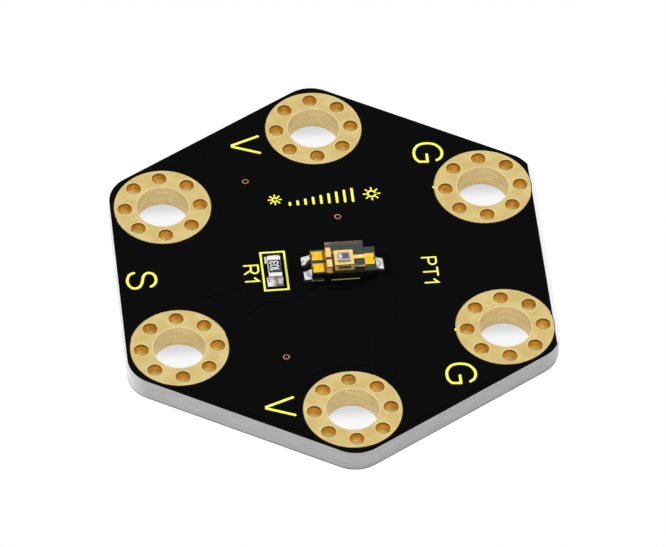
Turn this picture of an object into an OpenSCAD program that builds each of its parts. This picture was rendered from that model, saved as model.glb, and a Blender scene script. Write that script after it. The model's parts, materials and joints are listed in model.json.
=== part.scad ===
// Light sensor module: a small six-cornered circuit board with a ring terminal at each corner,
// a surface mounted light sensor with a clear top, and one chip resistor.
// Millimetres. Origin: middle of the underside. +X: the way the main print reads.
// +Y: up the print, towards the upper supply ring. +Z: out of the face that carries the parts.

/* [Board] */
// Width of the board between two opposite straight edges
across_flats = 26.4; // [24:0.1:30]
// Radius of the six rounded corners
corner_r = 2.1; // [1:0.1:3.2]
// Thickness over both outer faces
board_t = 1.6; // [0.8:0.1:2.4]
// Thickness of the copper foil on each face
foil_t = 0.035; // [0.02:0.005:0.07]
// Thickness of the black mask where it lies over foil
mask_t = 0.025; // [0.02:0.005:0.04]
// Depth of the dip in the top mask along every gap in the copper
dip_t = 0.02; // [0.01:0.005:0.02]
// How far the mask keeps its full height beyond a foil edge
mask_lap = 0.05; // [0.02:0.01:0.08]
// How far the foil stays back from the board's edge
edge_inset = 0.35; // [0.2:0.05:0.6]

/* [Ring terminals] */
// Distance from a ring to the board's straight edges
ring_edge = 0.24; // [0.2:0.01:0.3]
// Outside diameter of a ring
ring_d = 6; // [5.6:0.1:6.4]
// Diameter of the large hole in a ring
ring_hole_d = 3.2; // [2.8:0.1:3.4]
// Number of small holes in a ring
small_count = 8; // [5:1:10]
// Metal between a small hole and the ring's edge
small_out = 0.21; // [0.2:0.005:0.3]
// Metal between a small hole and the large hole
small_land = 0.27; // [0.2:0.005:0.35]
// Thickness of the metal that lines a ring's holes
lining_t = 0.04; // [0.02:0.005:0.06]
// Width of the bevel round a ring's edge and round its holes
rim_c = 0.02; // [0.01:0.005:0.025]
// Bare gap between a ring and the mask round it
ring_gap = 0.05; // [0.03:0.01:0.08]
// Gap between a ring and foil that it isn't joined to
ring_clear = 0.6; // [0.5:0.05:0.9]

/* [Vias] */
// Diameter of the hole in a via
via_hole_d = 0.3; // [0.2:0.05:0.35]
// Thickness of the metal that lines a via
via_wall = 0.025; // [0.02:0.005:0.04]
// Diameter of a via's pad
via_pad_d = 0.6; // [0.5:0.05:0.8]
// Diameter of the opening in the mask over a via
via_open_d = 0.43; // [0.38:0.01:0.48]
// How far the upper left via lies to the left of the upper supply ring's middle
via_upper_left = 4.66; // [4:0.01:5.5]
// How far it lies below that middle
via_upper_down = 4.08; // [3.5:0.01:5]
// How far the middle via lies to the right of the sensor's middle
via_middle_right = 0.1; // [0.1:0.01:1.5]
// How far it lies above that middle
via_middle_up = 4.03; // [3:0.01:5]
// How far the lower left via lies to the left of the lower supply ring's middle
via_lower_left = 3.57; // [3:0.01:4]
// How far it lies above that middle
via_lower_up = 4.48; // [4:0.01:5]

/* [Copper] */
// Gap between two areas of foil that aren't joined
net_gap = 0.3; // [0.2:0.05:0.35]
// Width of the supply track on the top
supply_w = 1; // [0.6:0.05:1.2]
// How far its bend lies to the right of the lower supply ring's middle
supply_turn_right = 2.45; // [2:0.05:3]
// How far its bend lies above that middle
supply_turn_up = 2.9; // [2.8:0.1:4]
// Right edge of the signal foil between the two signal rings, from their middles
signal_link_off = 0.93; // [0.5:0.01:1.2]
// How far the foot of that edge lies above the lower ring's middle
signal_link_up = 5.2; // [5:0.01:5.6]
// Outer corner of the signal foil's upper edge, to the right of that middle
signal_outer_right = 1.59; // [1.3:0.01:1.8]
// Outer corner of the signal foil's upper edge, above that middle
signal_outer_up = 3.52; // [3.4:0.01:3.9]
// Inner corner of the signal foil's upper edge, to the left of the resistor's middle
signal_inner_left = 1.72; // [1.4:0.01:1.9]
// Inner corner of the signal foil's upper edge, below the resistor's middle
signal_inner_down = 1.3; // [1.2:0.01:1.4]
// How far the signal foil's lower edge lies below the resistor's middle
signal_foot_down = 2.4; // [2.1:0.01:2.8]
// Half the length of that lower edge
signal_foot_half = 0.85; // [0.6:0.05:1]
// Corner where the signal foil widens, to the right of the ring's middle
signal_knee_right = 3.9; // [3.8:0.01:4.1]
// Corner where the signal foil widens, above the ring's middle
signal_knee_up = 1.98; // [1.7:0.01:2.1]
// Distance from the signal foil's lowest corner to the ring's right end
signal_low_in = 0.1; // [0.05:0.01:0.2]
// How far that corner lies above the ring's middle
signal_low_up = 0.9; // [0.8:0.01:1]
// Width of the supply track on the underside
under_link_w = 1; // [0.6:0.05:1.2]
// How far that track runs to the left of the board's middle
under_link_left = 1.2; // [0.9:0.05:1.5]
// How far the foil of a pad reaches past the opening in the mask
pad_lap = 0.06; // [0.03:0.01:0.1]
// Gap between the solder on a pad and the mask round it
open_gap = 0.03; // [0.02:0.01:0.05]

/* [Mounting of the parts] */
// Gap between the mask and the underside of a part
stand_off = 0.02; // [0.01:0.005:0.05]
// How far the solder reaches out from the end of a part
toe_l = 0.5; // [0.4:0.05:0.6]
// How high the solder climbs up the end of a part
solder_rise = 0.3; // [0.2:0.05:0.35]

/* [Light sensor] */
// How far the sensor's middle lies to the right of the board's middle
sensor_x = 0.635; // [0.5:0.005:0.8]
// How far the sensor's middle lies above the board's middle
sensor_y = 0.01; // [0:0.01:0.2]
// Length of the carrier
sensor_l = 4; // [3.7:0.05:4.4]
// Width of the carrier
sensor_w = 2; // [1.9:0.05:2.2]
// Thickness of the carrier
carrier_t = 0.4; // [0.35:0.05:0.6]
// Thickness of the gold leads
lead_t = 0.03; // [0.02:0.005:0.05]
// Length of the part of a lead that lies under the carrier
lead_foot_l = 0.7; // [0.5:0.05:0.8]
// Bare strip on top of the carrier between its end and the gold
lead_back = 0.06; // [0:0.01:0.1]
// Radius of the half-round notch at the end of each lead
notch_r = 0.18; // [0.12:0.01:0.22]
// Width of a left lead
left_lead_w = 0.76; // [0.6:0.01:0.82]
// Distance between the middles of the left leads
left_pitch = 0.98; // [0.95:0.01:1.1]
// Width of the right lead's end
right_lead_w = 0.94; // [0.7:0.01:1.2]
// Width of the bar between the right lead's end and the chip's bed
bar_w = 0.28; // [0.2:0.01:0.5]
// Width of the chip's bed
bed_w = 1.18; // [1:0.01:1.4]
// Length of the carrier left bare by the moulding at its left end
ledge_left = 0.91; // [0.8:0.01:1]
// Length of the carrier left bare by the moulding at its right end
ledge_right = 0.75; // [0.65:0.01:0.85]
// Height of the clear moulding above the carrier
mould_h = 0.65; // [0.5:0.05:0.9]
// Distance from the moulding's left side to the chip's bed
bed_left_in = 0.53; // [0.45:0.01:0.6]
// Distance from the moulding's right side to the chip's bed
bed_right_in = 0.63; // [0.5:0.01:0.7]
// Gap between the left leads and the chip's bed
bed_gap = 0.17; // [0.1:0.01:0.25]
// Gap between the moulding and the right lead's wide end
right_lead_gap = 0.07; // [0.04:0.01:0.1]
// Bare bed on the left and on the right of the chip
bed_rim = 0.21; // [0.15:0.01:0.25]
// Width of the chip
chip_w = 0.69; // [0.6:0.01:0.9]
// Thickness of the chip
chip_t = 0.2; // [0.15:0.01:0.22]
// Distance between the pads for the two left leads
left_pad_pitch = 1.18; // [1.1:0.01:1.2]
// Width of the solder on a left pad
left_solder_w = 0.78; // [0.7:0.01:0.86]
// Width of the solder on the right pad
right_solder_w = 1; // [0.8:0.01:1.1]
// How far the sensor's pads lie below its middle
pad_drop = 0.12; // [0.1:0.01:0.2]

/* [Bond wire] */
// Distance from the chip's left side to the middle of the ball on it
ball_in = 0.165; // [0.1:0.005:0.2]
// Radius of the ball
ball_r = 0.045; // [0.035:0.005:0.05]
// Height of the ball
ball_h = 0.03; // [0.025:0.005:0.04]
// Distance from the wire's end to the inner end of its lead
stitch_in = 0.06; // [0.05:0.01:0.1]
// How far the wire's end lies below the middle line of its lead
stitch_down = 0.08; // [0:0.01:0.2]
// Radius of the flattened end of the wire
stitch_r = 0.04; // [0.03:0.005:0.045]
// Height of the flattened end of the wire
stitch_h = 0.02; // [0.02:0.002:0.03]
// Radius of the wire
wire_r = 0.015; // [0.01:0.001:0.018]
// Height of the bend in the wire over the straight line between its ends
bend_h = 0.16; // [0.1:0.01:0.17]

/* [Chip resistor] */
// Distance from the sensor's left end to the resistor's middle
resistor_off = 2.24; // [2.1:0.01:2.4]
// How far the resistor's middle lies below the board's middle
resistor_down = 0.1; // [0:0.01:0.15]
// Length of the resistor
resistor_l = 1.6; // [1.5:0.05:1.7]
// Width of the resistor
resistor_w = 0.8; // [0.7:0.05:0.9]
// Height of the resistor
resistor_h = 0.45; // [0.35:0.05:0.55]
// Length of a metal end on top of the resistor
cap_l = 0.3; // [0.2:0.01:0.4]
// Thickness of a metal end
cap_t = 0.03; // [0.02:0.005:0.05]
// Thickness of the resistive film
res_film_t = 0.012; // [0.01:0.001:0.018]
// Distance from the film's side to the resistor's side
film_side = 0.1; // [0.05:0.01:0.2]
// Width of the solder on a resistor pad
res_solder_w = 0.94; // [0.9:0.01:1]
// How far the resistor's pads lie to the left of its middle
res_pad_off = 0.03; // [0:0.01:0.04]
// How far the resistor's solder reaches past its end
res_toe_l = 0.4; // [0.3:0.05:0.45]

/* [Outline print] */
// Thickness of the ink
ink_t = 0.015; // [0.01:0.001:0.018]
// Width of the printed frame's line
line_w = 0.13; // [0.1:0.01:0.2]
// Width of the frame round the resistor, between line middles
frame_w = 1.45; // [1.4:0.01:1.6]
// Height of the frame round the resistor, between line middles
frame_h = 3.07; // [2.95:0.01:3.4]
// Length of the lines beside the sensor
side_line_l = 1.75; // [1.4:0.05:2]
// Width of those lines
side_line_w = 0.08; // [0.07:0.01:0.2]
// How far their middle lies to the right of the sensor's middle
side_line_right = 0.05; // [0:0.01:0.1]
// Distance of those lines from the middle of the sensor's pads
side_line_off = 1.01; // [0.95:0.01:1.2]

/* [Hidden] */
$fn = 48;
over = 0.1;
corners = 6;
turn = 360 / corners;
core_z = mask_t + foil_t;
core_top = board_t - core_z;
foil_top = board_t - mask_t;
seat_z = board_t + stand_off;
ring_r = ring_d / 2;
ring_hole_r = ring_hole_d / 2;
ring_open_r = ring_r + ring_gap;
// Distance of the ring centres from the board's middle
ring_reach = (across_flats / 2 - ring_edge - ring_r) / cos(turn / 2);
small_r = (ring_r - ring_hole_r - small_out - small_land) / 2;
small_reach = ring_r - small_out - small_r;
via_r = via_hole_d / 2;
via_spots = [
    [-via_upper_left, ring_reach - via_upper_down],
    [sensor_x + via_middle_right, sensor_y + via_middle_up],
    [-via_lower_left, via_lower_up - ring_reach]
];

carrier_z = seat_z + lead_t;
carrier_top = carrier_z + carrier_t;
lead_top = carrier_top + lead_t;
chip_top = lead_top + chip_t;
left_end = sensor_x - sensor_l / 2;
right_end = sensor_x + sensor_l / 2;
pads_y = sensor_y - pad_drop;
// The left leads and the pads under them, upper then lower
left_lead_y = [sensor_y + left_pitch / 2, sensor_y - left_pitch / 2];
left_pad_y = [pads_y + left_pad_pitch / 2, pads_y - left_pad_pitch / 2];
mould_l = sensor_l - ledge_left - ledge_right;
mould_x = left_end + ledge_left;
bed_l = mould_l - bed_left_in - bed_right_in;
bed_x = mould_x + bed_left_in + bed_l / 2;
left_lead_l = ledge_left + bed_left_in - bed_gap;
right_lead_l = ledge_right - right_lead_gap;
chip_l = bed_l - 2 * bed_rim;
ball_x = bed_x - chip_l / 2 + ball_in;
stitch_x = left_end + left_lead_l - stitch_in;
stitch_y = left_lead_y[0] - stitch_down;
resistor_x = left_end - resistor_off;
resistor_y = -resistor_down;
res_end = resistor_l / 2;
res_top = seat_z + resistor_h;

ring_names = [
    "supply_ring_upper", "ground_ring_upper", "ground_ring_lower",
    "supply_ring_lower", "signal_ring_lower", "signal_ring_upper"
];
ground_rings = [1, 2];
// Rings that the ground foil isn't joined to
other_rings = [0, 3, 4, 5];
supply_upper = 0;
supply_lower = 3;
signal_lower = 4;
signal_upper = 5;
under_ground_names = ["ground_foil_bottom_left", "ground_foil_bottom_right"];
line_names = ["sensor_line_upper", "sensor_line_lower"];
via_names = ["via_upper_left", "via_middle", "via_lower_left"];
lead_names = ["sensor_lead_upper", "sensor_lead_lower"];
left_solder_names = ["sensor_solder_upper", "sensor_solder_lower"];
cap_names = ["resistor_end_upper", "resistor_end_lower"];
res_solder_names = ["resistor_solder_upper", "resistor_solder_lower"];

// Middle of ring i, counted clockwise from the upper supply ring
function ring_at(i) = ring_reach * [cos(90 - turn * i), sin(90 - turn * i)];
function way(a) = [cos(a), sin(a)];
// Radius of the arc that leaves its level end by h over the length l
function scoop_r(l, h) = (l * l + h * h) / (2 * h);
// Right-hand normal of the way from p to q
function normal(p, q) = [q[1] - p[1], p[0] - q[0]] / norm(q - p);
// A point moved by d off both edges that meet there, whose normals are m and n
function mitred(p, m, n, d) = p + d * (m + n) / (1 + m * n);
// An open line of points moved by d to its right
function shifted(points, d) = [
    for (i = [0:len(points) - 1])
        let (
            before = normal(points[max(i - 1, 0)], points[max(i, 1)]),
            after = i + 1 < len(points) ? normal(points[i], points[i + 1]) : before
        )
            mitred(points[i], before, after, d)
];
// A closed outline, listed anticlockwise, grown by d
function grown(points, d) = [
    for (i = [0:len(points) - 1])
        let (
            last = points[(i + len(points) - 1) % len(points)],
            next = points[(i + 1) % len(points)]
        )
            mitred(points[i], normal(last, points[i]), normal(points[i], next), d)
];
// Corners of a rectangle from its lower left and upper right corner
function box_points(a, b) = [a, [b[0], a[1]], b, [a[0], b[1]]];

signal_link = ring_at(signal_lower) + [signal_link_off, signal_link_up];
// Corners of the signal foil, anticlockwise from its ring
signal_outline = [
    ring_at(signal_lower),
    ring_at(signal_lower) + [ring_r - signal_low_in, signal_low_up],
    ring_at(signal_lower) + [signal_knee_right, signal_knee_up],
    [resistor_x - signal_foot_half, resistor_y - signal_foot_down],
    [resistor_x + signal_foot_half, resistor_y - signal_foot_down],
    left_pads_min() + [left_pad_w() + pad_lap, -pad_lap],
    left_pads_min() + [left_pad_w() + pad_lap, left_pads_h() + pad_lap],
    left_pads_min() + [-pad_lap, left_pads_h() + pad_lap],
    res_pad_min(-1) + [res_pad_w() + pad_lap, res_pad_h() + pad_lap],
    res_pad_min(-1) + [-pad_lap, res_pad_h() + pad_lap],
    [resistor_x - signal_inner_left, resistor_y - signal_inner_down],
    ring_at(signal_lower) + [signal_outer_right, signal_outer_up],
    signal_link,
    [ring_at(signal_lower)[0], signal_link[1]]
];

// Openings in the mask over the pads: sizes and lower left corners
function left_pad_w() = toe_l + lead_foot_l + 2 * open_gap;
function left_pad_h() = left_solder_w + 2 * open_gap;
function left_pad_min(y) = [left_end - toe_l - open_gap, y - left_pad_h() / 2];
function left_pads_min() = left_pad_min(left_pad_y[1]);
function left_pads_h() = left_pad_y[0] - left_pad_y[1] + left_pad_h();
function right_pad_h() = right_solder_w + 2 * open_gap;
function right_pad_min() = [right_end - lead_foot_l - open_gap, pads_y - right_pad_h() / 2];
function res_pad_w() = res_solder_w + 2 * open_gap;
function res_pad_h() = res_toe_l + cap_l + 2 * open_gap;
// The upper pad with side 1, the lower one with side -1
function res_pad_min(side) = [
    resistor_x - res_pad_off - res_pad_w() / 2,
    resistor_y + side * (res_end + (res_toe_l - cap_l) / 2) - res_pad_h() / 2
];

// The board's outline, moved in by inset
module board_outline(inset = 0) {
    r = corner_r - inset;
    reach = (across_flats / 2 - corner_r) / cos(turn / 2);
    polygon([
        for (k = [0:corners - 1], s = [-turn / 2, turn / 2])
            reach * way(turn * (k + 0.5)) + r * way(turn * (k + 0.5) + s)
    ]);
    for (k = [0:corners - 1])
        translate(reach * way(turn * (k + 0.5)))
            circle(r);
}

// A track of width w through the points, mitred at its bends
module track(points, w) {
    polygon(concat(
        shifted(points, w / 2),
        [for (i = [len(points) - 1:-1:0]) shifted(points, -w / 2)[i]]
    ));
}

module at_rings(list = [0:corners - 1]) {
    for (i = list)
        translate(ring_at(i))
            children();
}

module at_vias() {
    for (spot = via_spots)
        translate(spot)
            children();
}

// The small holes of one ring
module at_small() {
    for (k = [0:small_count - 1])
        rotate(k * 360 / small_count)
            translate([small_reach, 0])
                children();
}

// Foil of each net, grown by g
module signal_foil(g = 0) {
    low = [edge_inset - g - across_flats / 2, ring_at(signal_lower)[1]];
    high = [signal_link[0] + g, ring_at(signal_upper)[1]];
    polygon(box_points(low, high));
    polygon(grown(signal_outline, g));
}

module supply_foil(g = 0) {
    start = [right_end + toe_l, pads_y + g];
    bend = ring_at(supply_lower) + [supply_turn_right, supply_turn_up];
    track([start, bend, ring_at(supply_lower)], supply_w + 2 * g);
    low = right_pad_min() - [pad_lap, pad_lap];
    high = right_pad_min() + [left_pad_w() + pad_lap, right_pad_h() + pad_lap];
    polygon(grown(box_points(low, high), g));
}

// Area open to the ground foil, less what lies between a ground ring and the board's corner
module ground_area(g = 0) {
    difference() {
        board_outline(edge_inset - g);
        at_rings(other_rings) circle(ring_r + ring_clear - g);
        for (i = ground_rings)
            translate(ring_at(i))
                rotate(90 - turn * i)
                    translate([0, -ring_r / 2])
                        square([ring_d, ring_r]);
    }
}

module ground_foil(g = 0) {
    difference() {
        ground_area(g);
        signal_foil(net_gap - g);
        supply_foil(net_gap - g);
    }
}

module under_link(g = 0) {
    reach = ring_at(supply_upper)[1] - ring_hole_r;
    track([[-under_link_left, -reach], [-under_link_left, reach]], under_link_w + 2 * g);
}

// Ground foil on the underside, on side -1 or 1 of the supply track
module under_ground(side) {
    difference() {
        ground_area();
        under_link(net_gap);
        translate([-under_link_left - (side > 0 ? across_flats : 0), -across_flats])
            square([across_flats, 2 * across_flats]);
    }
}

module pad_openings() {
    for (y = left_pad_y)
        translate(left_pad_min(y)) square([left_pad_w(), left_pad_h()]);
    translate(right_pad_min()) square([left_pad_w(), right_pad_h()]);
    for (side = [-1, 1])
        translate(res_pad_min(side)) square([res_pad_w(), res_pad_h()]);
}

// A sheet of foil with its lower face at z, cut back to the rings and the vias' pads
module foil_sheet(z) {
    color([0.72, 0.45, 0.2])
        translate([0, 0, z])
            linear_extrude(foil_t)
                difference() {
                    children();
                    at_rings() circle(ring_r);
                    at_vias() circle(via_pad_d / 2);
                }
}

module mask_sheet() {
    linear_extrude(core_z)
        difference() {
            board_outline();
            at_rings() circle(ring_open_r);
            at_vias() circle(via_open_d / 2);
        }
}

module board_core() {
    color([0.68, 0.68, 0.62])
        translate([0, 0, core_z])
            linear_extrude(core_top - core_z)
                difference() {
                    board_outline();
                    at_rings() circle(ring_hole_r + lining_t);
                    at_rings() at_small() circle(small_r + lining_t);
                    at_vias() circle(via_r + via_wall);
                }
}

module top_mask() {
    color([0.06, 0.06, 0.065])
        difference() {
            translate([0, 0, core_top]) mask_sheet();
            // Room for the foil
            translate([0, 0, core_top - over])
                linear_extrude(foil_t + over) {
                    ground_foil();
                    signal_foil();
                    supply_foil();
                }
            translate([0, 0, core_top - over])
                linear_extrude(core_z + 2 * over)
                    pad_openings();
            // Dips along the gaps in the foil
            translate([0, 0, board_t - dip_t])
                linear_extrude(dip_t + over)
                    difference() {
                        board_outline(-over);
                        ground_foil(mask_lap);
                        signal_foil(mask_lap);
                        supply_foil(mask_lap);
                    }
        }
}

module bottom_mask() {
    color([0.06, 0.06, 0.065])
        difference() {
            mask_sheet();
            translate([0, 0, mask_t])
                linear_extrude(foil_t + over) {
                    under_ground(-1);
                    under_ground(1);
                    under_link();
                }
        }
}

module ground_foil_top() {
    foil_sheet(core_top) ground_foil();
}

module signal_foil_top() {
    foil_sheet(core_top) signal_foil();
}

module supply_foil_top() {
    foil_sheet(core_top) supply_foil();
}

module ground_foil_bottom(side) {
    foil_sheet(mask_t) under_ground(side);
}

module supply_foil_bottom() {
    foil_sheet(mask_t) under_link();
}

// Both rings of a terminal and the linings of its large hole and its small holes
module ring_terminal(i) {
    color([0.89, 0.8, 0.53])
        translate(ring_at(i))
            difference() {
                union() {
                    rotate_extrude()
                        polygon([
                            [ring_hole_r, rim_c],
                            [ring_hole_r + rim_c, 0],
                            [ring_r - rim_c, 0],
                            [ring_r, rim_c],
                            [ring_r, core_z],
                            [ring_hole_r + lining_t, core_z],
                            [ring_hole_r + lining_t, core_top],
                            [ring_r, core_top],
                            [ring_r, board_t - rim_c],
                            [ring_r - rim_c, board_t],
                            [ring_hole_r + rim_c, board_t],
                            [ring_hole_r, board_t - rim_c]
                        ]);
                    translate([0, 0, core_z / 2])
                        at_small() cylinder(r = small_r + lining_t, h = board_t - core_z);
                }
                at_small() small_bore();
            }
}

module small_bore() {
    translate([0, 0, -over]) cylinder(r = small_r, h = board_t + 2 * over);
    cylinder(r1 = small_r + rim_c, r2 = small_r, h = rim_c);
    translate([0, 0, board_t - rim_c])
        cylinder(r1 = small_r, r2 = small_r + rim_c, h = rim_c);
}

module via(i) {
    color([0.75, 0.55, 0.3])
        translate(via_spots[i])
            difference() {
                union() {
                    translate([0, 0, mask_t])
                        cylinder(r = via_r + via_wall, h = foil_top - mask_t);
                    for (z = [mask_t, core_top])
                        translate([0, 0, z]) cylinder(r = via_pad_d / 2, h = foil_t);
                }
                cylinder(r = via_r, h = board_t);
            }
}

module ink() {
    color([0.95, 0.93, 0.2])
        translate([0, 0, board_t])
            linear_extrude(ink_t) children();
}

module resistor_outline() {
    ink()
        translate([resistor_x, resistor_y])
            difference() {
                square([frame_w + line_w, frame_h + line_w], center = true);
                square([frame_w - line_w, frame_h - line_w], center = true);
            }
}

module sensor_line(i) {
    ink()
        translate([sensor_x + side_line_right, pads_y + (i == 0 ? side_line_off : -side_line_off)])
            square([side_line_l, side_line_w], center = true);
}

// Half-round notches in the ends of the carrier, r their radius
module notches(r) {
    for (y = left_lead_y)
        translate([left_end, y]) circle(r);
    translate([right_end, sensor_y]) circle(r);
}

module sensor_carrier() {
    color([0.22, 0.25, 0.22])
        translate([0, 0, carrier_z])
            linear_extrude(carrier_t)
                difference() {
                    translate([left_end, sensor_y - sensor_w / 2]) square([sensor_l, sensor_w]);
                    notches(notch_r);
                }
}

// A lead at one end of the carrier: foot, lining of the notch and the top, given by children
module lead(y, w, side) {
    end = side < 0 ? left_end : right_end;
    foot_x = side < 0 ? end : end - lead_foot_l;
    color([0.9, 0.75, 0.4])
        difference() {
            union() {
                translate([foot_x, y - w / 2, seat_z])
                    cube([lead_foot_l, w, lead_t]);
                translate([end, y, seat_z])
                    cylinder(r = notch_r, h = lead_top - seat_z);
                translate([0, 0, carrier_top])
                    linear_extrude(lead_t) children();
            }
            translate([end, y, seat_z - over])
                cylinder(r = notch_r - lead_t, h = lead_top - seat_z + 2 * over);
            // Nothing stands out past the carrier's end
            translate([side < 0 ? end - sensor_l : end, y - sensor_w, seat_z - over])
                cube([sensor_l, 2 * sensor_w, lead_top]);
        }
}

module left_lead(i) {
    lead(left_lead_y[i], left_lead_w, -1)
        translate([left_end + lead_back, left_lead_y[i] - left_lead_w / 2])
            square([left_lead_l - lead_back, left_lead_w]);
}

module sensor_lead_right() {
    lead(sensor_y, right_lead_w, 1) {
        translate([right_end - right_lead_l, sensor_y - right_lead_w / 2])
            square([right_lead_l - lead_back, right_lead_w]);
        translate([bed_x, sensor_y - bar_w / 2])
            square([right_end - lead_back - bed_x, bar_w]);
        translate([bed_x - bed_l / 2, sensor_y - bed_w / 2]) square([bed_l, bed_w]);
    }
}

module sensor_chip() {
    color([0.35, 0.33, 0.4])
        translate([bed_x - chip_l / 2, sensor_y - chip_w / 2, lead_top])
            cube([chip_l, chip_w, chip_t]);
}

// Flattened ball on the chip, one even bend and a flattened end on the upper left lead
module bond_wire() {
    run = [stitch_x - ball_x, stitch_y - sensor_y];
    start = [0, chip_top + ball_h];
    finish = [norm(run), lead_top + stitch_h];
    chord = finish - start;
    up = [-chord[1], chord[0]] / norm(chord);
    bend_r = scoop_r(norm(chord) / 2, bend_h);
    middle = (start + finish) / 2 - (bend_r - bend_h) * up;
    from = finish - middle;
    to = start - middle;
    first = atan2(from[1], from[0]);
    last = atan2(to[1], to[0]);
    color([0.95, 0.8, 0.4])
        translate([ball_x, sensor_y])
            rotate(atan2(run[1], run[0])) {
                translate([0, 0, chip_top]) cylinder(r = ball_r, h = ball_h);
                translate([finish[0], 0, lead_top]) cylinder(r = stitch_r, h = stitch_h);
                translate([middle[0], 0, middle[1]])
                    rotate([90, 0, 0])
                        rotate_extrude(angle = last - first, start = first)
                            translate([bend_r, 0]) circle(wire_r);
            }
}

module sensor_moulding() {
    color([0.75, 0.76, 0.72, 0.5])
        difference() {
            translate([mould_x, sensor_y - sensor_w / 2, carrier_top])
                cube([mould_l, sensor_w, mould_h]);
            for (i = [0, 1])
                left_lead(i);
            sensor_lead_right();
            sensor_chip();
            bond_wire();
        }
}

// Solder under and beside the end of a part. Origin: middle of the part's end on the foil,
// +X away from the part. The pad is pad_w wide and shifted along Y from the part's metal.
module solder_joint(pad_w, metal_w, shift, foot, toe, hole_r = 0) {
    base_t = seat_z - foil_top;
    low_y = max(-metal_w / 2, shift - pad_w / 2);
    high_y = min(metal_w / 2, shift + pad_w / 2);
    r = scoop_r(toe, solder_rise - base_t);
    color([0.78, 0.78, 0.76]) {
        translate([-foot, shift - pad_w / 2]) cube([foot + toe, pad_w, base_t]);
        translate([0, high_y, 0])
            rotate([90, 0, 0])
                linear_extrude(high_y - low_y)
                    difference() {
                        square([toe, solder_rise]);
                        translate([toe, base_t + r]) circle(r);
                    }
        if (hole_r > 0)
            intersection() {
                cylinder(r = hole_r, h = solder_rise);
                translate([-hole_r, low_y]) cube([hole_r, high_y - low_y, solder_rise]);
            }
    }
}

module left_solder(i) {
    shift = left_pad_y[i] - left_lead_y[i];
    translate([left_end, left_lead_y[i], foil_top])
        mirror([1, 0, 0])
            solder_joint(left_solder_w, left_lead_w, shift, lead_foot_l, toe_l, notch_r - lead_t);
}

module sensor_solder_right() {
    translate([right_end, sensor_y, foil_top])
        solder_joint(
            right_solder_w, right_lead_w, -pad_drop, lead_foot_l, toe_l, notch_r - lead_t
        );
}

// Ceramic bar between and inside the metal ends
module resistor_body() {
    color([0.85, 0.84, 0.8])
        translate([resistor_x, resistor_y, seat_z + cap_t])
            translate([-resistor_w / 2, cap_t - res_end])
                cube([resistor_w, resistor_l - 2 * cap_t, resistor_h - 2 * cap_t]);
}

module resistor_film() {
    color([0.3, 0.28, 0.3])
        translate([resistor_x, resistor_y, res_top - cap_t])
            translate([film_side - resistor_w / 2, cap_l - res_end])
                cube([resistor_w - 2 * film_side, resistor_l - 2 * cap_l, res_film_t]);
}

module resistor_glaze() {
    color([0.08, 0.08, 0.1])
        difference() {
            translate([resistor_x, resistor_y, res_top - cap_t])
                translate([-resistor_w / 2, cap_l - res_end])
                    cube([resistor_w, resistor_l - 2 * cap_l, cap_t]);
            resistor_film();
        }
}

module resistor_end(i) {
    color([0.8, 0.8, 0.8])
        difference() {
            translate([resistor_x, resistor_y, seat_z])
                mirror([0, i, 0])
                    translate([-resistor_w / 2, res_end - cap_l])
                        cube([resistor_w, cap_l, resistor_h]);
            resistor_body();
        }
}

module resistor_solder(i) {
    translate([resistor_x, resistor_y, foil_top])
        mirror([0, i, 0])
            translate([0, res_end])
                rotate(90)
                    solder_joint(res_solder_w, resistor_w, res_pad_off, cap_l, res_toe_l);
}

board_core();
top_mask();
bottom_mask();
ground_foil_top();
signal_foil_top();
supply_foil_top();
for (i = [0, 1])
    ground_foil_bottom(2 * i - 1);
supply_foil_bottom();
resistor_outline();
for (i = [0, 1])
    sensor_line(i);
for (i = [0:corners - 1])
    ring_terminal(i);
for (i = [0:len(via_names) - 1])
    via(i);
sensor_carrier();
sensor_moulding();
sensor_lead_right();
sensor_chip();
bond_wire();
for (i = [0, 1])
    left_lead(i);
for (i = [0, 1])
    left_solder(i);
sensor_solder_right();
resistor_body();
resistor_film();
resistor_glaze();
for (i = [0, 1])
    resistor_end(i);
for (i = [0, 1])
    resistor_solder(i);
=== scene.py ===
"""Looks of the light sensor module: finishes, print, solder, clear top, light, camera."""

import json
import math

import bmesh
import bpy
from mathutils import Matrix, Vector, noise

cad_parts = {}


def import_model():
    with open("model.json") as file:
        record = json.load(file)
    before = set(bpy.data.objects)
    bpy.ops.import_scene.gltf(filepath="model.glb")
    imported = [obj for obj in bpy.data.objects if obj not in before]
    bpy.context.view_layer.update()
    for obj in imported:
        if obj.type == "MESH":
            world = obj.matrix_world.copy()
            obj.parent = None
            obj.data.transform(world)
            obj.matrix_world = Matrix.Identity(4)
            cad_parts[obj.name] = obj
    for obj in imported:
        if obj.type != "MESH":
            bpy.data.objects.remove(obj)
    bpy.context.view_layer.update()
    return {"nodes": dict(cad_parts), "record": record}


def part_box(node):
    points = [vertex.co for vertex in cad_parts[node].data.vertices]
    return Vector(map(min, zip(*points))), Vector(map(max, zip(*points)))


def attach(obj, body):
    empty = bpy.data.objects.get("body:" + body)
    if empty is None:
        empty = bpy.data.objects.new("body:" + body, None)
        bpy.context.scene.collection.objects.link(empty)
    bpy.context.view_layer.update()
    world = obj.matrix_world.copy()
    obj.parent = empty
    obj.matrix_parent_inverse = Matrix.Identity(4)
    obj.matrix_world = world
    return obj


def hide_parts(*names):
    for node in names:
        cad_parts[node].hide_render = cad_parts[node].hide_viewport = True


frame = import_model()

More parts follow.
